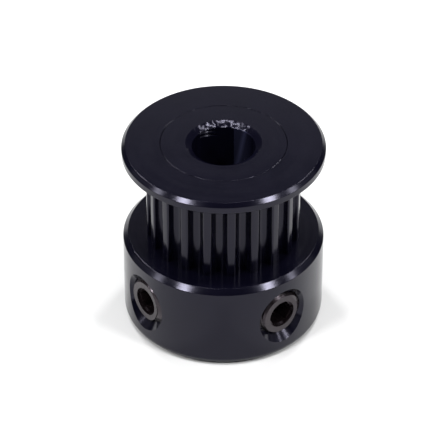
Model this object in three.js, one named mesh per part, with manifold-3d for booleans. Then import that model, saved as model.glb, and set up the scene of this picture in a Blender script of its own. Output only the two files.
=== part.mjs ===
// Timing belt pulley for a 2 mm pitch belt: a turned hub whose upper part is hobbed with twenty
// teeth, a flange ring pressed on the top, and two set screws that clamp the shaft in the bore.
// Millimetres. +Z runs along the bore's axis, and the origin is on it, at the hub's end face.

import * as THREE from 'three';
import { mergeVertices } from 'three/addons/utils/BufferGeometryUtils.js';
import Module from 'manifold-3d';

const wasm = await Module();
wasm.setup();

// ---- Driving dimensions ----

// Hub and overall height
const HEIGHT = 16;
const HUB_DIAMETER = 16;
const HUB_HEIGHT = 7.5;
const HUB_TOP_CHAMFER = 0.4;
const HUB_END_CHAMFER = 0.3;

// Bore for the shaft, with a wide-angle countersink at both ends
const BORE_DIAMETER = 5;
const BORE_MOUTH_DIAMETER = 6;
const BORE_MOUTH_DEPTH = 0.3;

// Belt teeth: grooves made of a bottom arc, two flank arcs and two rounded lips
const BELT_PITCH = 2;
const TOOTH_COUNT = 20;
const PITCH_LINE_OFFSET = 0.254;
const GROOVE_DEPTH = 0.764;
const GROOVE_BOTTOM_RADIUS = 0.555;
const GROOVE_FLANK_RADIUS = 1;
const GROOVE_FLANK_OFFSET = 0.4;
const GROOVE_LIP_RADIUS = 0.15;
const FIRST_LAND_ANGLE = THREE.MathUtils.degToRad(4.9);

// Flange ring, pressed over a spigot that the teeth leave standing
const FLANGE_DIAMETER = 16;
const FLANGE_THICKNESS = 1;
const FLANGE_TOP_CHAMFER = 0.3;
const FLANGE_UNDER_CHAMFER = 0.2;
const SPIGOT_DIAMETER = 9.9;
const PRESS_SEAM = 0.05;

// Set screws and their tapped holes
const SCREW_AXIS_HEIGHT = HUB_HEIGHT / 2;
const SCREW_DIAMETER = 3.9;
const SCREW_LENGTH = 4;
const SCREW_FACE_RADIUS = 7.7;
const SCREW_END_CHAMFER = 0.25;
const SCREW_POINT_DIAMETER = 2.2;
const SCREW_POINT_LENGTH = 0.5;
const SCREW_CUP_DIAMETER = 1.8;
const SCREW_CUP_DEPTH = 0.45;
const SOCKET_ACROSS_FLATS = 2;
const SOCKET_DEPTH = 1.8;
const TAPPED_DIAMETER = 4;
const TAPPED_MOUTH_DIAMETER = 5;
const SCREW_ANGLES = { set_screw_front: 0, set_screw_side: Math.PI / 2 };

// Roundness of the turned surfaces; multiples of four keep the extents centred on the axis
const TURNED_SEGMENTS = 96;
const BORE_SEGMENTS = 64;
const SCREW_SEGMENTS = 32;

// Length by which a cutter or a joined block passes the face it works on
const OVERRUN = 0.5;

// ---- Solids ----

// A geometry as a solid: shared corners are merged, and triangles flattened by that are dropped
function solidOf(geometry) {
  const bare = geometry.clone();
  bare.deleteAttribute('normal');
  bare.deleteAttribute('uv');
  const merged = mergeVertices(bare, 1e-5);
  const corners = merged.index.array;
  const kept = [];
  for (let i = 0; i < corners.length; i += 3) {
    const [a, b, c] = corners.slice(i, i + 3);
    if (a !== b && b !== c && c !== a) kept.push(a, b, c);
  }
  return new wasm.Manifold(new wasm.Mesh({
    numProp: 3,
    vertProperties: merged.attributes.position.array,
    triVerts: Uint32Array.from(kept),
  }));
}

function geometryOf(solid) {
  const mesh = solid.getMesh();
  const geometry = new THREE.BufferGeometry();
  geometry.setAttribute('position', new THREE.BufferAttribute(mesh.vertProperties, 3));
  geometry.setIndex(new THREE.BufferAttribute(mesh.triVerts, 1));
  geometry.computeVertexNormals();
  return geometry;
}

// A body turned about +Z from a profile of [radius, height] points
function turned(profile, segments) {
  const points = profile.map(([radius, height]) => new THREE.Vector2(radius, height));
  return new THREE.LatheGeometry(points, segments).rotateX(Math.PI / 2);
}

// Lays a geometry built along +Z on the axis of the set screw at this angle, counted from -Y
function onScrewAxis(geometry, angle) {
  return geometry.rotateX(Math.PI / 2).translate(0, 0, SCREW_AXIS_HEIGHT).rotateZ(angle);
}

// ---- Belt teeth ----

const beltRadius = (BELT_PITCH * TOOTH_COUNT) / (2 * Math.PI) - PITCH_LINE_OFFSET;

function arc(centre, radius, from, to, steps) {
  const points = [];
  for (let i = 0; i <= steps; i += 1) {
    const angle = THREE.MathUtils.lerp(from, to, i / steps);
    points.push(new THREE.Vector2(radius, 0).rotateAround(new THREE.Vector2(), angle).add(centre));
  }
  return points;
}

// Half of one groove in its own plane, from the bottom's middle to the end of the lip.
// y runs outward from the pulley's axis. Each arc is tangent to the one before it.
function halfGroove() {
  const bottomCentre = new THREE.Vector2(0, beltRadius - GROOVE_DEPTH + GROOVE_BOTTOM_RADIUS);
  const centreGap = GROOVE_FLANK_RADIUS - GROOVE_BOTTOM_RADIUS;
  const flankCentre = new THREE.Vector2(
    -GROOVE_FLANK_OFFSET,
    bottomCentre.y + Math.sqrt(centreGap ** 2 - GROOVE_FLANK_OFFSET ** 2),
  );
  const bottomEnd = bottomCentre.clone().sub(flankCentre).angle() - 2 * Math.PI;

  // The lip touches the flank arc outside and the tip circle inside
  const lipDistance = beltRadius - GROOVE_LIP_RADIUS;
  const flankToLip = GROOVE_FLANK_RADIUS + GROOVE_LIP_RADIUS;
  const flankDistance = flankCentre.length();
  const cosine = (lipDistance ** 2 + flankDistance ** 2 - flankToLip ** 2)
    / (2 * lipDistance * flankDistance);
  const lipAngle = flankCentre.angle() - Math.acos(cosine);
  const lipCentre = new THREE.Vector2(lipDistance, 0).rotateAround(new THREE.Vector2(), lipAngle);
  const flankEnd = lipCentre.clone().sub(flankCentre).angle() - 2 * Math.PI;

  return [
    ...arc(bottomCentre, GROOVE_BOTTOM_RADIUS, -Math.PI / 2, bottomEnd, 3),
    ...arc(flankCentre, GROOVE_FLANK_RADIUS, bottomEnd, flankEnd, 1).slice(1),
    ...arc(lipCentre, GROOVE_LIP_RADIUS, flankEnd + Math.PI, lipAngle, 2).slice(1),
  ];
}

// The whole outline: each groove is a half and its mirror image, and lands join them
function toothOutline() {
  const half = halfGroove();
  const mirrored = half.slice(1).map((p) => new THREE.Vector2(-p.x, p.y)).reverse();
  const groove = [...mirrored, ...half].reverse();
  const step = (2 * Math.PI) / TOOTH_COUNT;
  const firstGroove = FIRST_LAND_ANGLE + step / 2 - Math.PI / 2;
  const points = [];
  for (let tooth = 0; tooth < TOOTH_COUNT; tooth += 1) {
    const turn = firstGroove + tooth * step;
    points.push(...groove.map((p) => p.clone().rotateAround(new THREE.Vector2(), turn)));
  }
  return new THREE.Shape(points);
}

function toothedBlock() {
  const top = HEIGHT - FLANGE_THICKNESS - PRESS_SEAM;
  const bottom = HUB_HEIGHT - OVERRUN;
  const block = new THREE.ExtrudeGeometry(toothOutline(), {
    depth: top - bottom,
    bevelEnabled: false,
  });
  return block.translate(0, 0, bottom);
}

// ---- Pulley body ----

function hubAndSpigot() {
  const hubRadius = HUB_DIAMETER / 2;
  const spigotRadius = SPIGOT_DIAMETER / 2;
  return turned([
    [0, 0],
    [hubRadius - HUB_END_CHAMFER, 0],
    [hubRadius, HUB_END_CHAMFER],
    [hubRadius, HUB_HEIGHT - HUB_TOP_CHAMFER],
    [hubRadius - HUB_TOP_CHAMFER, HUB_HEIGHT],
    [spigotRadius, HUB_HEIGHT],
    [spigotRadius, HEIGHT],
    [0, HEIGHT],
  ], TURNED_SEGMENTS);
}

function boreCutter() {
  const mouthRadius = BORE_MOUTH_DIAMETER / 2;
  const boreRadius = BORE_DIAMETER / 2;
  return turned([
    [0, -OVERRUN],
    [mouthRadius, -OVERRUN],
    [mouthRadius, 0],
    [boreRadius, BORE_MOUTH_DEPTH],
    [boreRadius, HEIGHT - BORE_MOUTH_DEPTH],
    [mouthRadius, HEIGHT],
    [mouthRadius, HEIGHT + OVERRUN],
    [0, HEIGHT + OVERRUN],
  ], BORE_SEGMENTS);
}

// A tapped hole from the bore's middle outward, with a 90 degree countersink at the hub's side
function tappedHoleCutter(angle) {
  const holeRadius = TAPPED_DIAMETER / 2;
  const mouthRadius = TAPPED_MOUTH_DIAMETER / 2;
  const hubRadius = HUB_DIAMETER / 2;
  const cutter = turned([
    [0, 0],
    [holeRadius, 0],
    [holeRadius, hubRadius - (mouthRadius - holeRadius)],
    [mouthRadius, hubRadius],
    [mouthRadius, hubRadius + OVERRUN],
    [0, hubRadius + OVERRUN],
  ], SCREW_SEGMENTS);
  return onScrewAxis(cutter, angle);
}

function pulleyBodyGeometry() {
  let body = solidOf(hubAndSpigot()).add(solidOf(toothedBlock()));
  body = body.subtract(solidOf(boreCutter()));
  for (const angle of Object.values(SCREW_ANGLES)) {
    body = body.subtract(solidOf(tappedHoleCutter(angle)));
  }
  return geometryOf(body);
}

// ---- Flange ring ----

function flangeGeometry() {
  const outer = FLANGE_DIAMETER / 2;
  const inner = SPIGOT_DIAMETER / 2 + PRESS_SEAM;
  const underside = HEIGHT - FLANGE_THICKNESS;
  return turned([
    [inner, underside],
    [outer - FLANGE_UNDER_CHAMFER, underside],
    [outer, underside + FLANGE_UNDER_CHAMFER],
    [outer, HEIGHT - FLANGE_TOP_CHAMFER],
    [outer - FLANGE_TOP_CHAMFER, HEIGHT],
    [inner, HEIGHT],
    [inner, underside],
  ], TURNED_SEGMENTS);
}

// ---- Set screw, with its cup point at the origin and its socket end up +Z ----

function setScrewGeometry() {
  const radius = SCREW_DIAMETER / 2;
  const shank = turned([
    [0, SCREW_CUP_DEPTH],
    [SCREW_CUP_DIAMETER / 2, 0],
    [SCREW_POINT_DIAMETER / 2, 0],
    [radius, SCREW_POINT_LENGTH],
    [radius, SCREW_LENGTH - SCREW_END_CHAMFER],
    [radius - SCREW_END_CHAMFER, SCREW_LENGTH],
    [0, SCREW_LENGTH],
  ], SCREW_SEGMENTS);
  const cornerRadius = SOCKET_ACROSS_FLATS / Math.sqrt(3);
  const socket = new THREE.CylinderGeometry(
    cornerRadius, cornerRadius, SOCKET_DEPTH + OVERRUN, 6, 1, false, Math.PI / 2,
  );
  socket.rotateX(Math.PI / 2);
  socket.translate(0, 0, SCREW_LENGTH - SOCKET_DEPTH + (SOCKET_DEPTH + OVERRUN) / 2);
  return geometryOf(solidOf(shank).subtract(solidOf(socket)));
}

// ---- Scene graph ----

const anodised = new THREE.MeshStandardMaterial({
  name: 'black_anodised_aluminium',
  color: 0x1b1c26,
  roughness: 0.32,
  metalness: 0.6,
});
const blackOxide = new THREE.MeshStandardMaterial({
  name: 'black_oxide_steel',
  color: 0x2a2424,
  roughness: 0.45,
  metalness: 0.7,
});

function named(name, geometry, material) {
  const mesh = new THREE.Mesh(geometry, material);
  mesh.name = name;
  return mesh;
}

function screwAt(name, angle) {
  const spoke = new THREE.Group();
  const screw = named(name, setScrewGeometry(), blackOxide);
  screw.position.set(0, SCREW_LENGTH - SCREW_FACE_RADIUS, SCREW_AXIS_HEIGHT);
  screw.rotation.x = Math.PI / 2;
  spoke.rotation.z = angle;
  spoke.add(screw);
  return spoke;
}

const pulley = new THREE.Group();
pulley.add(named('pulley_body', pulleyBodyGeometry(), anodised));
pulley.add(named('top_flange', flangeGeometry(), anodised));
for (const [name, angle] of Object.entries(SCREW_ANGLES)) {
  pulley.add(screwAt(name, angle));
}

export default pulley;
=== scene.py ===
import math

import bmesh
import bpy
import numpy as np
from mathutils import Matrix, Vector


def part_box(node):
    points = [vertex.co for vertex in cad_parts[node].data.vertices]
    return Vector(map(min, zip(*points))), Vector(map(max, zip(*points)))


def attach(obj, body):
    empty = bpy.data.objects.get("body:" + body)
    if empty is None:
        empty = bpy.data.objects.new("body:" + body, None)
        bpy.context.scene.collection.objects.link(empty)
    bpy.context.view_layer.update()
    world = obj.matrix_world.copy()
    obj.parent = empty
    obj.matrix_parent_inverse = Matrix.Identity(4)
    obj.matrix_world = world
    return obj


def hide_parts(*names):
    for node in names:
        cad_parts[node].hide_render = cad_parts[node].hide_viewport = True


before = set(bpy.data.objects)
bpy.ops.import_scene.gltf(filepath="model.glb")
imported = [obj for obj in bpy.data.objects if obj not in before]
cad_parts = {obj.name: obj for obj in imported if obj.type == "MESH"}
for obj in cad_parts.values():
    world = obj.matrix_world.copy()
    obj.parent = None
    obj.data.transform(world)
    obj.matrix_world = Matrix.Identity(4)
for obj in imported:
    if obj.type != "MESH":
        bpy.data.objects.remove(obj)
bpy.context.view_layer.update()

# ---------------------------------------------------------------------------------------------
# Sizes, in millimetres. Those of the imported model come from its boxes.
# ---------------------------------------------------------------------------------------------

MM = 0.001

BODY_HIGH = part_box("pulley_body")[1] / MM
FLANGE_LOW, FLANGE_HIGH = (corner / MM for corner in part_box("top_flange"))
FRONT_LOW, FRONT_HIGH = (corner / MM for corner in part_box("set_screw_front"))

HEIGHT = BODY_HIGH.z
HUB_RADIUS = BODY_HIGH.x
SCREW_HEIGHT = (FRONT_LOW.z + FRONT_HIGH.z) / 2
HUB_HEIGHT = 2 * SCREW_HEIGHT
HUB_TOP_CHAMFER = 0.4
HUB_END_ROUND = 0.65

BORE_RADIUS = 2.5
BORE_MOUTH_RADIUS = 3.0
BORE_MOUTH_DEPTH = 0.3

BELT_PITCH = 2.0
TOOTH_COUNT = 20
PITCH_LINE_OFFSET = 0.254
BELT_RADIUS = BELT_PITCH * TOOTH_COUNT / (2 * math.pi) - PITCH_LINE_OFFSET
GROOVE_DEPTH = 0.764
GROOVE_BOTTOM_RADIUS = 0.555
GROOVE_FLANK_RADIUS = 1.0
GROOVE_FLANK_OFFSET = 0.4
GROOVE_LIP_RADIUS = 0.15
FIRST_LAND_ANGLE = math.radians(4.9)

FLANGE_RADIUS = FLANGE_HIGH.x
FLANGE_UNDERSIDE = FLANGE_LOW.z
FLANGE_TOP_CHAMFER = 0.3
FLANGE_UNDER_CHAMFER = 0.2
SPIGOT_RADIUS = 4.95
FLANGE_HOLE_RADIUS = 4.985
SEAM_WANDER = 0.006

SCREW_FACE = -FRONT_LOW.y
SCREW_TIP = -FRONT_HIGH.y
SCREW_END_CHAMFER = 0.28
SCREW_POINT_RADIUS = 1.1
SCREW_POINT_LENGTH = 0.5
SCREW_CUP_RADIUS = 0.9
SCREW_CUP_DEPTH = 0.45
SOCKET_ACROSS_FLATS = 2.0
SOCKET_DEPTH = 1.8
SOCKET_MOUTH_RADIUS = 1.165
SOCKET_MOUTH_DEPTH = 0.3
TAPPED_MOUTH_RADIUS = 2.5

THREAD_PITCH = 0.7
THREAD_START = 0.5
SCREW_MAJOR, SCREW_MINOR = 1.95, 1.52
TAPPED_MAJOR, TAPPED_MINOR = 2.02, 1.66
THREAD_FLANK = math.tan(math.radians(30))
THREAD_CREST = 0.0875

SCREWS = {
    "set_screw_front": ("front_screw", 0.0),
    "set_screw_side": ("side_screw", math.pi / 2),
}

TURNED_SEGMENTS = 360
BORE_SEGMENTS = 240
THREAD_SEGMENTS = 72
OVERRUN = 0.5

# ---------------------------------------------------------------------------------------------
# Camera: the photograph's view
# ---------------------------------------------------------------------------------------------

CAMERA_AZIMUTH = math.radians(53.0)
CAMERA_ELEVATION = math.radians(38.05)
CAMERA_ROLL = math.radians(0.155)
CAMERA_DISTANCE = 219.1 * MM
CAMERA_LENS = 220.8
CAMERA_SENSOR = 36.0
AIM_HEIGHT = 7.945 * MM
AIM_RIGHT = 0.046 * MM


def add_camera():
    data = bpy.data.cameras.new("camera")
    data.lens = CAMERA_LENS
    data.sensor_width = CAMERA_SENSOR
    data.clip_start = 0.01
    data.clip_end = 10.0
    camera = bpy.data.objects.new("camera", data)
    bpy.context.scene.collection.objects.link(camera)
    away = Vector((
        math.sin(CAMERA_AZIMUTH) * math.cos(CAMERA_ELEVATION),
        -math.cos(CAMERA_AZIMUTH) * math.cos(CAMERA_ELEVATION),
        math.sin(CAMERA_ELEVATION),
    ))
    right = Vector((math.cos(CAMERA_AZIMUTH), math.sin(CAMERA_AZIMUTH), 0.0))
    turn = Matrix((right, away.cross(right), away)).transposed()
    turn = turn @ Matrix.Rotation(CAMERA_ROLL, 3, "Z")
    place = Vector((0.0, 0.0, AIM_HEIGHT)) + AIM_RIGHT * right + CAMERA_DISTANCE * away
    camera.matrix_world = Matrix.Translation(place) @ turn.to_4x4()
    bpy.context.scene.camera = camera


# ---------------------------------------------------------------------------------------------
# Mesh helpers. Solids are built in millimetres as bmeshes and put in place in metres at the end.
# ---------------------------------------------------------------------------------------------


FILLET_STEP = math.radians(11.5)


def rounded(corners):
    """A profile of (radius, height) points from corners of (radius, height, fillet radius)."""
    points = []
    count = len(corners)
    for i, (x, y, fillet) in enumerate(corners):
        here = Vector((x, y))
        if not fillet or i in (0, count - 1):
            points.append(here)
            continue
        back = (Vector(corners[i - 1][:2]) - here).normalized()
        on = (Vector(corners[i + 1][:2]) - here).normalized()
        half = back.angle(on) / 2
        middle = here + (back + on).normalized() * fillet / math.sin(half)
        start = here + back * fillet / math.tan(half) - middle
        end = here + on * fillet / math.tan(half) - middle
        sweep = start.angle_signed(end)
        steps = math.ceil(abs(sweep) / FILLET_STEP)
        for step in range(steps + 1):
            points.append(middle + Matrix.Rotation(-sweep * step / steps, 2) @ start)
    return [tuple(p) for p in points]


def revolve(profile, segments, closed=False):
    """A solid turned about +Z. The profile runs from the axis to the axis, or is a closed ring."""
    bm = bmesh.new()
    rows = []
    for radius, height in profile:
        if radius < 1e-9:
            rows.append([bm.verts.new((0, 0, height))])
            continue
        angles = [2 * math.pi * i / segments for i in range(segments)]
        rows.append([
            bm.verts.new((radius * math.cos(a), radius * math.sin(a), height)) for a in angles
        ])
    pairs = list(zip(rows, rows[1:]))
    if closed:
        pairs.append((rows[-1], rows[0]))
    for low, high in pairs:
        for i in range(segments):
            j = (i + 1) % segments
            corners = [low[i % len(low)], low[j % len(low)], high[j % len(high)], high[i % len(high)]]
            bm.faces.new(list(dict.fromkeys(corners)))
    return tidied(bm)


def prism(outline, low, high):
    """A solid with this outline of (x, y) points, from height low to height high."""
    bm = bmesh.new()
    bottom = [bm.verts.new((x, y, low)) for x, y in outline]
    top = [bm.verts.new((x, y, high)) for x, y in outline]
    bm.faces.new(bottom[::-1])
    bm.faces.new(top)
    count = len(outline)
    for i in range(count):
        j = (i + 1) % count
        bm.faces.new([bottom[i], bottom[j], top[j], top[i]])
    return tidied(bm)


def threaded_bar(major, minor, low, high):
    """A right-handed screw thread about +Z, a little longer than low to high, with closed ends.

    Each column of corners climbs one pitch in a turn, so crests and roots are true edges.
    """
    crest = THREAD_CREST / 2
    flank = (major - minor) * THREAD_FLANK
    section = [
        (-crest - flank, minor),
        (-crest - flank * 0.06, major - (major - minor) * 0.04),
        (-crest * 0.5, major),
        (crest * 0.5, major),
        (crest + flank * 0.06, major - (major - minor) * 0.04),
        (crest + flank, minor),
    ]
    turns = math.ceil((high - low) / THREAD_PITCH) + 2
    first = math.floor(low / THREAD_PITCH) - 1
    bm = bmesh.new()
    columns = []
    for i in range(THREAD_SEGMENTS):
        angle = 2 * math.pi * i / THREAD_SEGMENTS
        climb = THREAD_PITCH * (i / THREAD_SEGMENTS + THREAD_START)
        columns.append([
            bm.verts.new((
                radius * math.cos(angle),
                radius * math.sin(angle),
                (first + turn) * THREAD_PITCH + along + climb,
            ))
            for turn in range(turns + 1)
            for along, radius in section
        ])
    step = len(section)
    rows = len(columns[0]) - step
    for i in range(THREAD_SEGMENTS):
        here = columns[i]
        last = i == THREAD_SEGMENTS - 1
        following = columns[0][step:] if last else columns[i + 1]
        for row in range(rows - 1):
            bm.faces.new([here[row], following[row], following[row + 1], here[row + 1]])
    low_rim = [column[0] for column in columns] + columns[0][1:step + 1][::-1]
    high_rim = [column[rows - 1] for column in columns] + columns[0][rows:rows + step][::-1]
    for rim, height in ((low_rim, low - 4 * OVERRUN), (high_rim, high + 4 * OVERRUN)):
        middle = bm.verts.new((0, 0, height))
        for a, b in zip(rim, rim[1:] + rim[:1]):
            bm.faces.new([a, b, middle])
    for vert in [v for v in bm.verts if not v.link_faces]:
        bm.verts.remove(vert)
    return tidied(bm)


def tidied(bm):
    """Turns all faces of a closed solid outward."""
    bmesh.ops.recalc_face_normals(bm, faces=bm.faces)
    if bm.calc_volume(signed=True) < 0:
        bmesh.ops.reverse_faces(bm, faces=bm.faces)
    return bm


def moved(bm, matrix):
    bmesh.ops.transform(bm, matrix=matrix, verts=bm.verts)
    return bm


def on_screw_axis(bm, angle):
    """Lays a solid built along +Z on the axis of the set screw at this angle from -Y."""
    lay = Matrix.Rotation(math.pi / 2, 4, "X")
    lift = Matrix.Translation((0, 0, SCREW_HEIGHT))
    return moved(bm, Matrix.Rotation(angle, 4, "Z") @ lift @ lay)


def holder(bm, name):
    mesh = bpy.data.meshes.new(name)
    bm.to_mesh(mesh)
    bm.free()
    obj = bpy.data.objects.new(name, mesh)
    bpy.context.scene.collection.objects.link(obj)
    return obj


def combined(base, *others):
    """The base solid after each (operation, solid) in turn. All are bmeshes, which this frees."""
    target = holder(base, "work")
    helpers = []
    for operation, bm in others:
        helpers.append(holder(bm, "helper"))
        modifier = target.modifiers.new("join", "BOOLEAN")
        modifier.operation = operation
        modifier.solver = "MANIFOLD"
        modifier.object = helpers[-1]
    depsgraph = bpy.context.evaluated_depsgraph_get()
    bm = bmesh.new()
    bm.from_object(target, depsgraph)
    for obj in [target, *helpers]:
        mesh = obj.data
        bpy.data.objects.remove(obj)
        bpy.data.meshes.remove(mesh)
    bmesh.ops.remove_doubles(bm, verts=bm.verts, dist=1e-5)
    bmesh.ops.dissolve_degenerate(bm, dist=1e-5, edges=bm.edges)
    return bm


def waviness(angle, seed, first, last):
    """A smooth closed curve of about plus or minus 1 round the axis, with this range of lobes."""
    random = np.random.default_rng(seed)
    lobes = np.arange(first, last + 1)
    heights = random.normal(size=len(lobes))
    starts = random.uniform(0, 2 * math.pi, size=len(lobes))
    return float(np.sum(heights * np.sin(lobes * angle + starts))) / math.sqrt(len(lobes))


SHARP_ANGLE = math.radians(14)


def with_flat_faces_flat(bm):
    """A mesh of this solid, still in millimetres, whose shading normals follow its largest faces."""
    for face in bm.faces:
        face.smooth = True
    for edge in bm.edges:
        faces = edge.link_faces
        edge.smooth = len(faces) == 2 and faces[0].normal.angle(faces[1].normal, 0) < SHARP_ANGLE
    rough = holder(bm, "rough")
    weighted = rough.modifiers.new("weighted", "WEIGHTED_NORMAL")
    weighted.keep_sharp = True
    depsgraph = bpy.context.evaluated_depsgraph_get()
    mesh = bpy.data.meshes.new_from_object(rough.evaluated_get(depsgraph))
    rough_mesh = rough.data
    bpy.data.objects.remove(rough)
    bpy.data.meshes.remove(rough_mesh)
    return mesh


def piece(bm, name, material, body, replaced):
    """Turns a solid in millimetres into a finished object that stands for a CAD node."""
    mesh = with_flat_faces_flat(bm)
    mesh.name = name
    mesh.transform(Matrix.Scale(MM, 4))
    mesh.materials.append(material)
    obj = bpy.data.objects.new(name, mesh)
    bpy.context.scene.collection.objects.link(obj)
    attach(obj, body)
    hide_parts(replaced)
    return obj


# ---------------------------------------------------------------------------------------------
# Pulley body
# ---------------------------------------------------------------------------------------------


def arc(centre, radius, start, end, steps):
    return [
        Vector((centre[0] + radius * math.cos(a), centre[1] + radius * math.sin(a)))
        for a in np.linspace(start, end, steps + 1)
    ]


def half_groove():
    """From the middle of a groove's bottom to the end of its lip, with y running outward."""
    bottom = Vector((0, BELT_RADIUS - GROOVE_DEPTH + GROOVE_BOTTOM_RADIUS))
    gap = GROOVE_FLANK_RADIUS - GROOVE_BOTTOM_RADIUS
    rise = math.sqrt(gap**2 - GROOVE_FLANK_OFFSET**2)
    flank = Vector((-GROOVE_FLANK_OFFSET, bottom.y + rise))
    to_bottom = bottom - flank
    bottom_end = math.atan2(to_bottom.y, to_bottom.x)
    lip_distance = BELT_RADIUS - GROOVE_LIP_RADIUS
    flank_to_lip = GROOVE_FLANK_RADIUS + GROOVE_LIP_RADIUS
    cosine = (lip_distance**2 + flank.length_squared - flank_to_lip**2) / (
        2 * lip_distance * flank.length
    )
    lip_angle = math.atan2(flank.y, flank.x) - math.acos(cosine)
    lip = Vector((lip_distance * math.cos(lip_angle), lip_distance * math.sin(lip_angle)))
    to_lip = lip - flank
    flank_end = math.atan2(to_lip.y, to_lip.x)
    return (
        arc(bottom, GROOVE_BOTTOM_RADIUS, -math.pi / 2, bottom_end, 10)
        + arc(flank, GROOVE_FLANK_RADIUS, bottom_end, flank_end, 3)[1:]
        + arc(lip, GROOVE_LIP_RADIUS, flank_end + math.pi, lip_angle, 6)[1:]
    )


def tooth_outline():
    half = half_groove()
    groove = [Vector((-p.x, p.y)) for p in half[:0:-1]] + half
    groove.reverse()
    step = 2 * math.pi / TOOTH_COUNT
    lip_end = math.atan2(half[-1].x, half[-1].y)
    land = arc((0, 0), BELT_RADIUS, lip_end, step - lip_end, 4)[1:-1]
    land = [Vector((-p.y, p.x)) for p in land]
    outline = []
    for tooth in range(TOOTH_COUNT):
        turn = FIRST_LAND_ANGLE + (tooth + 0.5) * step - math.pi / 2
        outline += [Matrix.Rotation(turn, 2) @ p for p in groove + land]
    return outline


def hub_and_spigot():
    edge = 0.05
    return revolve(rounded([
        (0, 0, 0),
        (HUB_RADIUS, 0, HUB_END_ROUND),
        (HUB_RADIUS, HUB_HEIGHT - HUB_TOP_CHAMFER, edge),
        (HUB_RADIUS - HUB_TOP_CHAMFER, HUB_HEIGHT, edge),
        (SPIGOT_RADIUS, HUB_HEIGHT, 0),
        (SPIGOT_RADIUS, HEIGHT, 0.03),
        (0, HEIGHT, 0),
    ]), TURNED_SEGMENTS)


# The two scores are where the photo shows two bright arcs on the bore's wall
TOOL_MARK_DEPTH = 0.094
TOOL_MARK_WIDTH = 0.09
TOOL_MARK_ANGLE = math.radians(176)
TOOL_MARK_SPAN = math.radians(23)
TOOL_MARK_HEIGHTS = (15.50, 15.14)
TOOL_MARK_CLIMB = 0.55
TOOL_MARK_ROW = 0.025

# The raggedness is full on the side of the countersink that the photo shows clearly, which is the
# far side from the photo's camera, and weaker elsewhere. That is a choice of looks, not a known fact.
CHATTER = 0.02
CHATTER_ANGLE = math.radians(143)
CHATTER_LEAST = 0.25
MOUTH_ROWS = ((2.86, 0.08), (2.72, 0.175), (2.60, 0.265))


def tool_marks(angle, height):
    """Depth of the short spiral scores on one side of the bore's wall."""
    turn = math.remainder(angle - TOOL_MARK_ANGLE, 2 * math.pi)
    fade = max(0.0, 1 - (turn / TOOL_MARK_SPAN) ** 2)
    depth = 0.0
    for start in TOOL_MARK_HEIGHTS:
        middle = start + TOOL_MARK_CLIMB * turn
        depth += TOOL_MARK_DEPTH * fade * max(0.0, 1 - abs(height - middle) / TOOL_MARK_WIDTH)
    return depth


def chatter(angle, seed, first, last):
    """How far the countersink strays from a true cone, most on the side at CHATTER_ANGLE."""
    worst = max(0.0, math.cos(angle - CHATTER_ANGLE))
    share = CHATTER_LEAST + (1 - CHATTER_LEAST) * worst
    return CHATTER * share * waviness(angle, seed, first, last)


def bore_cutter():
    """The bore with a countersink at each end. The upper one is ragged."""
    edge = 0.03
    marked_low, marked_high = HEIGHT - 1.2, HEIGHT - BORE_MOUTH_DEPTH - edge
    rows = math.ceil((marked_high - marked_low) / TOOL_MARK_ROW)
    wall = [(BORE_RADIUS, height, 0) for height in np.linspace(marked_low, marked_high, rows)][:-1]
    cutter = revolve(rounded([
        (0, -OVERRUN, 0),
        (BORE_MOUTH_RADIUS + OVERRUN, -OVERRUN, 0),
        (BORE_MOUTH_RADIUS, 0, 0),
        (BORE_RADIUS, BORE_MOUTH_DEPTH, edge),
        *wall,
        (BORE_RADIUS, HEIGHT - BORE_MOUTH_DEPTH - edge, 0),
        *[(row_radius, HEIGHT - depth, 0) for row_radius, depth in MOUTH_ROWS[::-1]],
        (BORE_MOUTH_RADIUS, HEIGHT, 0),
        (BORE_MOUTH_RADIUS + OVERRUN, HEIGHT + OVERRUN, 0),
        (0, HEIGHT + OVERRUN, 0),
    ]), BORE_SEGMENTS)
    for vert in cutter.verts:
        radius = vert.co.xy.length
        angle = math.atan2(vert.co.y, vert.co.x)
        if BORE_RADIUS - 0.001 < radius < BORE_RADIUS + 0.001:
            vert.co.xy *= (radius + tool_marks(angle, vert.co.z)) / radius
        for row, (row_radius, _) in enumerate(MOUTH_ROWS):
            if abs(radius - row_radius) < 0.001:
                vert.co.z += chatter(angle, 11 + row, 5, 27)
        if abs(radius - BORE_MOUTH_RADIUS) < 0.001:
            vert.co.xy *= (radius + chatter(angle, 7, 13, 41)) / radius
    return cutter


def tapped_hole_cutter(angle):
    """A threaded hole from the bore outward, and its countersink at the hub's side."""
    low, high = BORE_RADIUS - 1.0, HUB_RADIUS + OVERRUN
    thread = threaded_bar(TAPPED_MAJOR, TAPPED_MINOR, low, high)
    reach = 0.3
    envelope = revolve([
        (0, low),
        (TAPPED_MAJOR + OVERRUN, low),
        (TAPPED_MAJOR + OVERRUN, high),
        (0, high),
    ], THREAD_SEGMENTS)
    root = HUB_RADIUS - (TAPPED_MOUTH_RADIUS - TAPPED_MINOR)
    countersink = revolve([
        (0, root - reach),
        (TAPPED_MINOR - 0.01, root - reach),
        (TAPPED_MINOR - 0.01, root - 0.01),
        (TAPPED_MOUTH_RADIUS + reach, HUB_RADIUS + reach),
        (TAPPED_MOUTH_RADIUS + reach, high + reach),
        (0, high + reach),
    ], 2 * THREAD_SEGMENTS)
    cutter = combined(thread, ("INTERSECT", envelope), ("UNION", countersink))
    return on_screw_axis(cutter, angle)


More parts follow.
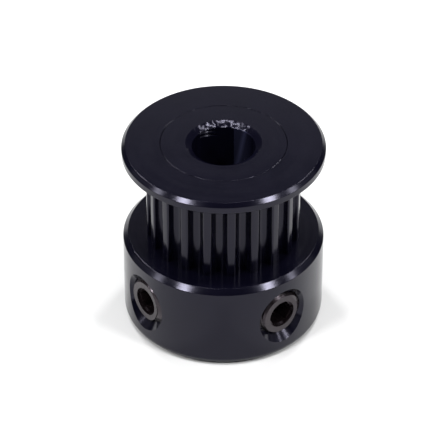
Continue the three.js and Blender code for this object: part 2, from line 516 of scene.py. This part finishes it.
def pulley_body():
    teeth = prism(tooth_outline(), HUB_HEIGHT - OVERRUN, FLANGE_UNDERSIDE - 0.02)
    cuts = [("DIFFERENCE", tapped_hole_cutter(angle)) for _, angle in SCREWS.values()]
    body = combined(hub_and_spigot(), ("UNION", teeth), ("DIFFERENCE", bore_cutter()), *cuts)
    for vert in body.verts:
        radius = vert.co.xy.length
        if vert.co.z > FLANGE_UNDERSIDE + 0.5 and radius > SPIGOT_RADIUS - 0.06:
            angle = math.atan2(vert.co.y, vert.co.x)
            vert.co.xy *= (radius + SEAM_WANDER * waviness(angle, 3, 3, 40)) / radius
    return body


# ---------------------------------------------------------------------------------------------
# Flange and set screws
# ---------------------------------------------------------------------------------------------


def top_flange():
    edge = 0.05
    ring = revolve(rounded([
        (FLANGE_HOLE_RADIUS, FLANGE_UNDERSIDE + 0.3, 0),
        (FLANGE_HOLE_RADIUS, FLANGE_UNDERSIDE, 0.03),
        (FLANGE_RADIUS - FLANGE_UNDER_CHAMFER, FLANGE_UNDERSIDE, edge),
        (FLANGE_RADIUS, FLANGE_UNDERSIDE + FLANGE_UNDER_CHAMFER, edge),
        (FLANGE_RADIUS, HEIGHT - FLANGE_TOP_CHAMFER, edge),
        (FLANGE_RADIUS - FLANGE_TOP_CHAMFER, HEIGHT, edge),
        (FLANGE_HOLE_RADIUS, HEIGHT, 0.02),
        (FLANGE_HOLE_RADIUS, HEIGHT - 0.3, 0),
    ]), TURNED_SEGMENTS, closed=True)
    for vert in ring.verts:
        radius = vert.co.xy.length
        if vert.co.z > HEIGHT - 0.1 and radius < FLANGE_HOLE_RADIUS + 0.06:
            angle = math.atan2(vert.co.y, vert.co.x)
            vert.co.xy *= (radius + SEAM_WANDER * waviness(angle, 5, 3, 40)) / radius
    return ring


def set_screw(angle):
    blank = revolve(rounded([
        (0, SCREW_TIP + SCREW_CUP_DEPTH, 0),
        (SCREW_CUP_RADIUS, SCREW_TIP, 0.03),
        (SCREW_POINT_RADIUS, SCREW_TIP, 0.05),
        (SCREW_MAJOR + 0.05, SCREW_TIP + SCREW_POINT_LENGTH, 0.05),
        (SCREW_MAJOR + 0.05, SCREW_FACE - (SCREW_END_CHAMFER + 0.05) * 1.3, 0.05),
        (SCREW_MAJOR - SCREW_END_CHAMFER, SCREW_FACE, 0.05),
        (0, SCREW_FACE, 0),
    ]), 2 * THREAD_SEGMENTS)
    thread = threaded_bar(SCREW_MAJOR, SCREW_MINOR, SCREW_TIP, SCREW_FACE)
    corner = SOCKET_ACROSS_FLATS / math.sqrt(3)
    corners = [(corner * math.cos(a), corner * math.sin(a)) for a in np.arange(6) * math.pi / 3]
    socket = prism(corners, SCREW_FACE - SOCKET_DEPTH, SCREW_FACE + OVERRUN)
    mouth = revolve([
        (0, SCREW_FACE - SOCKET_MOUTH_DEPTH),
        (SOCKET_MOUTH_RADIUS, SCREW_FACE - SOCKET_MOUTH_DEPTH),
        (SOCKET_MOUTH_RADIUS, SCREW_FACE + OVERRUN),
        (0, SCREW_FACE + OVERRUN),
    ], THREAD_SEGMENTS)
    drill_point = revolve([
        (0, SCREW_FACE - SOCKET_DEPTH - 0.4),
        (SOCKET_ACROSS_FLATS / 2 - 0.02, SCREW_FACE - SOCKET_DEPTH + 0.1),
        (0, SCREW_FACE - SOCKET_DEPTH + 0.3),
    ], THREAD_SEGMENTS)
    screw = combined(
        blank,
        ("INTERSECT", thread),
        ("DIFFERENCE", socket),
        ("DIFFERENCE", mouth),
        ("DIFFERENCE", drill_point),
    )
    return on_screw_axis(screw, angle)


# ---------------------------------------------------------------------------------------------
# Materials
# ---------------------------------------------------------------------------------------------


class Nodes:
    """Short calls for building one material's node tree."""

    def __init__(self, name):
        self.material = bpy.data.materials.new(name)
        self.material.use_nodes = True
        self.tree = self.material.node_tree
        self.shader = self.tree.nodes["Principled BSDF"]

    def put(self, socket, value):
        if isinstance(value, bpy.types.NodeSocket):
            self.tree.links.new(value, socket)
        else:
            socket.default_value = value

    def node(self, kind, settings=None, **inputs):
        made = self.tree.nodes.new(kind)
        for key, value in (settings or {}).items():
            setattr(made, key, value)
        for key, value in inputs.items():
            self.put(made.inputs[key.replace("_", " ")], value)
        return made

    def math(self, operation, a, b=0.0):
        made = self.tree.nodes.new("ShaderNodeMath")
        made.operation = operation
        self.put(made.inputs[0], a)
        self.put(made.inputs[1], b)
        return made.outputs[0]

    def noise(self, vector, scale, detail=2.0, roughness=0.5):
        made = self.node(
            "ShaderNodeTexNoise", Vector=vector, Scale=scale, Detail=detail, Roughness=roughness
        )
        return made.outputs["Fac"]

    def vector(self, x, y, z):
        return self.node("ShaderNodeCombineXYZ", X=x, Y=y, Z=z).outputs["Vector"]

    def spread(self, value, low, high, to_low, to_high):
        made = self.tree.nodes.new("ShaderNodeMapRange")
        self.put(made.inputs["Value"], value)
        for key, bound in zip(("From Min", "From Max", "To Min", "To Max"), (low, high, to_low, to_high)):
            self.put(made.inputs[key], bound)
        return made.outputs["Result"]

    def blend(self, factor, first, second):
        made = self.node("ShaderNodeMix", {"data_type": "RGBA"})
        self.put(made.inputs["Factor"], factor)
        self.put(made.inputs["A"], first)
        self.put(made.inputs["B"], second)
        return made.outputs["Result"]

    def bump(self, height, strength, distance, normal=None):
        made = self.node("ShaderNodeBump", Height=height, Strength=strength, Distance=distance)
        if normal is not None:
            self.put(made.inputs["Normal"], normal)
        return made.outputs["Normal"]


BLACK_DYE = ((0.0018, 0.0017, 0.0052, 1), (0.0023, 0.0021, 0.0064, 1))
# Painted reflection on one side of the bore's wall: its colour, the angles of its lighter band, and the
# middle, half width and lean of its streak
PAINTED_REFLECTION_COLOR = (0.030, 0.032, 0.066, 1)
PAINTED_BAND_FADE = (math.radians(78), math.radians(110))
PAINTED_BAND_END = math.radians(124)
PAINTED_REFLECTION_MIDDLE = math.radians(100)
PAINTED_REFLECTION_HALF_WIDTH = math.radians(7)
PAINTED_REFLECTION_LEAN = math.radians(4.5)


def anodised_aluminium(name):
    """Black anodising over turned metal: fine rings round the axis, streaks along the teeth, and a
    painted reflection on one side of the bore's wall.
    """
    n = Nodes(name)
    place = n.node("ShaderNodeTexCoord").outputs["Object"]
    split = n.node("ShaderNodeSeparateXYZ", Vector=place).outputs
    x, y, z = split["X"], split["Y"], split["Z"]
    radius = n.math("SQRT", n.math("ADD", n.math("MULTIPLY", x, x), n.math("MULTIPLY", y, y)))
    angle = n.math("ARCTAN2", y, x)

    # Rings of the turning tool, closest together on the flat faces
    ring_place = n.vector(radius, z, n.math("MULTIPLY", angle, 0.00012))
    rings = n.noise(ring_place, 9000.0, 3.0, 0.6)
    broad_rings = n.noise(ring_place, 1600.0, 2.0)

    # Streaks that the hob leaves along each tooth
    streak_place = n.vector(n.math("MULTIPLY", angle, 0.006), n.math("MULTIPLY", z, 0.03), radius)
    streaks = n.noise(streak_place, 7000.0, 2.0)
    in_teeth = n.math(
        "MULTIPLY",
        n.math("LESS_THAN", radius, (BELT_RADIUS - 0.03) * MM),
        n.math("MULTIPLY", n.math("GREATER_THAN", z, (HUB_HEIGHT + 0.02) * MM),
               n.math("LESS_THAN", z, (FLANGE_UNDERSIDE - 0.04) * MM)),
    )
    in_teeth = n.math("MULTIPLY", in_teeth, n.math("GREATER_THAN", radius, (BORE_RADIUS + 1) * MM))
    marks = n.node("ShaderNodeMix", {"data_type": "FLOAT"})
    n.put(marks.inputs["Factor"], in_teeth)
    n.put(marks.inputs["A"], rings)
    n.put(marks.inputs["B"], streaks)

    grain = n.noise(place, 22000.0, 3.0, 0.6)
    cloud = n.noise(place, 420.0, 4.0, 0.55)

    color = n.blend(n.spread(cloud, 0.3, 0.7, 0.0, 1.0), *BLACK_DYE)

    # Painted reflection: a lighter band and a leaning streak are painted into the base colour on one side
    # of the bore's wall. They stand in for light and a reflection there, not for a mark on the metal.
    # They stay on the wall in every view.
    in_bore = n.math("LESS_THAN", radius, (BORE_RADIUS + 0.05) * MM)
    in_painted_band = n.math("MULTIPLY", in_bore, n.math("LESS_THAN", angle, PAINTED_BAND_END))
    fade = n.spread(angle, *PAINTED_BAND_FADE, 0.0, 0.35)
    lean = n.math("MULTIPLY", n.math("SUBTRACT", HEIGHT * MM, z), PAINTED_REFLECTION_LEAN / MM)
    middle = n.math("ADD", lean, PAINTED_REFLECTION_MIDDLE)
    aside = n.math("ABSOLUTE", n.math("SUBTRACT", angle, middle))
    streak = n.spread(aside, 0.0, PAINTED_REFLECTION_HALF_WIDTH, 0.65, 0.0)
    painted_light = n.math("MULTIPLY", in_painted_band, n.math("ADD", fade, streak))
    color = n.blend(painted_light, color, PAINTED_REFLECTION_COLOR)
    n.put(n.shader.inputs["Base Color"], color)
    cloud_rough = n.spread(cloud, 0.3, 0.7, 0.14, 0.18)
    ring_rough = n.spread(broad_rings, 0.3, 0.7, -0.02, 0.02)
    rough = n.math("ADD", cloud_rough, ring_rough)
    n.put(n.shader.inputs["Roughness"], n.math("ADD", rough, n.math("MULTIPLY", in_teeth, 0.02)))
    n.shader.inputs["IOR"].default_value = 1.36
    n.shader.inputs["Specular Tint"].default_value = (0.80, 0.78, 1.0, 1)
    normal = n.bump(grain, 0.12, 0.000004)
    n.put(n.shader.inputs["Normal"], n.bump(marks.outputs["Result"], 0.25, 0.000006, normal))
    return n.material


OXIDE_BROWN = ((0.003, 0.002, 0.0025, 1), (0.009, 0.006, 0.007, 1))
OXIDE_VIOLET = (0.010, 0.005, 0.008, 1)


def black_oxide_steel(name):
    """Oiled black oxide on steel: brown and violet clouds in a dark, slightly rough film."""
    n = Nodes(name)
    place = n.node("ShaderNodeTexCoord").outputs["Object"]
    cloud = n.noise(place, 900.0, 4.0, 0.6)
    tint = n.noise(place, 350.0, 2.0)
    grain = n.noise(place, 16000.0, 4.0, 0.65)
    brown = n.blend(n.spread(cloud, 0.35, 0.65, 0.0, 1.0), *OXIDE_BROWN)
    color = n.blend(n.spread(tint, 0.55, 0.75, 0.0, 0.6), brown, OXIDE_VIOLET)
    n.put(n.shader.inputs["Base Color"], color)
    n.put(n.shader.inputs["Roughness"], n.spread(cloud, 0.3, 0.7, 0.20, 0.32))
    n.shader.inputs["IOR"].default_value = 1.48
    n.shader.inputs["Specular Tint"].default_value = (1.0, 0.87, 1.0, 1)
    n.put(n.shader.inputs["Normal"], n.bump(grain, 0.3, 0.000006))
    return n.material


# ---------------------------------------------------------------------------------------------
# Floor and studio light. An azimuth here counts from the camera's, to the right.
# ---------------------------------------------------------------------------------------------


def direction(azimuth, elevation=0.0):
    a = CAMERA_AZIMUTH + math.radians(azimuth)
    e = math.radians(elevation)
    return Vector((math.sin(a) * math.cos(e), -math.cos(a) * math.cos(e), math.sin(e)))


FLOOR_PALE = ((0.70, 0.70, 0.70, 1), (0.73, 0.73, 0.73, 1))
FLOOR_SIZE = 1.5
FLOOR_GAP = 0.00002


def add_floor():
    bm = bmesh.new()
    bmesh.ops.create_grid(bm, x_segments=8, y_segments=8, size=FLOOR_SIZE)
    floor = holder(bm, "floor")
    floor.location.z = -FLOOR_GAP
    n = Nodes("pale_floor")
    mottle = n.noise(n.node("ShaderNodeTexCoord").outputs["Object"], 60.0, 2.0)
    n.put(n.shader.inputs["Base Color"], n.blend(mottle, *FLOOR_PALE))
    n.shader.inputs["Roughness"].default_value = 0.7
    n.shader.inputs["Specular IOR Level"].default_value = 0.1
    floor.data.materials.append(n.material)


LIGHT_DISTANCE = 0.5


def add_light(name, azimuth, elevation, wide, high, radiance):
    """A soft box that faces the object. Its width and height are angles seen from the object."""
    data = bpy.data.lights.new(name, "AREA")
    data.shape = "RECTANGLE"
    data.size = 2 * LIGHT_DISTANCE * math.tan(math.radians(wide) / 2)
    data.size_y = 2 * LIGHT_DISTANCE * math.tan(math.radians(high) / 2)
    data.energy = radiance * data.size * data.size_y * math.pi
    light = bpy.data.objects.new(name, data)
    bpy.context.scene.collection.objects.link(light)
    aim = Vector((0.0, 0.0, HEIGHT * MM))
    away = direction(azimuth, elevation)
    right = direction(azimuth + 90)
    face = Matrix((right, away.cross(right), away)).transposed()
    light.matrix_world = Matrix.Translation(aim + LIGHT_DISTANCE * away) @ face.to_4x4()
    light.visible_camera = False


def add_world():
    world = bpy.data.worlds.new("studio")
    world.use_nodes = True
    background = world.node_tree.nodes["Background"]
    background.inputs["Color"].default_value = (0.9, 0.93, 1.0, 1)
    background.inputs["Strength"].default_value = 0.045
    bpy.context.scene.world = world


KEY = 50.0

# Name, azimuth, elevation, width and height in degrees, share of the key's brightness. The places
# were chosen so that the glints fall where the photo has them.
LAMPS = (
    ("overhead_strip", 0, 83, 56, 2.4, 1.0),
    ("left_high_box", -100, 55, 9, 7, 0.35),
    ("right_high_box", 100, 55, 9, 7, 0.35),
    ("left_key", -49.6, 46.5, 9, 9, 1.0),
    ("right_key", 57.2, 44.6, 9, 9, 1.0),
    ("left_back_key", -150, 48, 9, 9, 1.0),
    ("right_back_key", 150, 48, 9, 9, 1.0),
    ("left_side_box", -79.5, 37, 6, 12, 0.25),
    ("right_side_box", 84, 35.5, 6, 12, 0.25),
)
CARD_ELEVATION, CARD_WIDE, CARD_HIGH = 20.5, 44, 31

# Name, azimuth in degrees, brightness
PALE_CARDS = (
    ("front_card", 0, 0.3),
    ("right_card", 90, 0.3),
    ("back_card", 180, 0.56),
    ("left_card", 270, 0.3),
)


def add_studio():
    """A plain floor, soft boxes round the object, a strip overhead and four large pale cards."""
    add_world()
    add_floor()
    for name, azimuth, elevation, wide, high, share in LAMPS:
        add_light(name, azimuth, elevation, wide, high, KEY * share)
    for name, azimuth, radiance in PALE_CARDS:
        add_light(name, azimuth, CARD_ELEVATION, CARD_WIDE, CARD_HIGH, radiance)
    bpy.context.scene.view_settings.view_transform = "Standard"


# ---------------------------------------------------------------------------------------------
# Scene
# ---------------------------------------------------------------------------------------------

add_camera()
body_finish = anodised_aluminium("anodised_body")
flange_finish = anodised_aluminium("anodised_flange")
screw_finish = black_oxide_steel("black_oxide")

piece(pulley_body(), "pulley_body_fine", body_finish, "pulley", "pulley_body")
piece(top_flange(), "top_flange_fine", flange_finish, "pulley", "top_flange")
for node, (body, angle) in SCREWS.items():
    piece(set_screw(angle), node + "_fine", screw_finish, body, node)
add_studio()
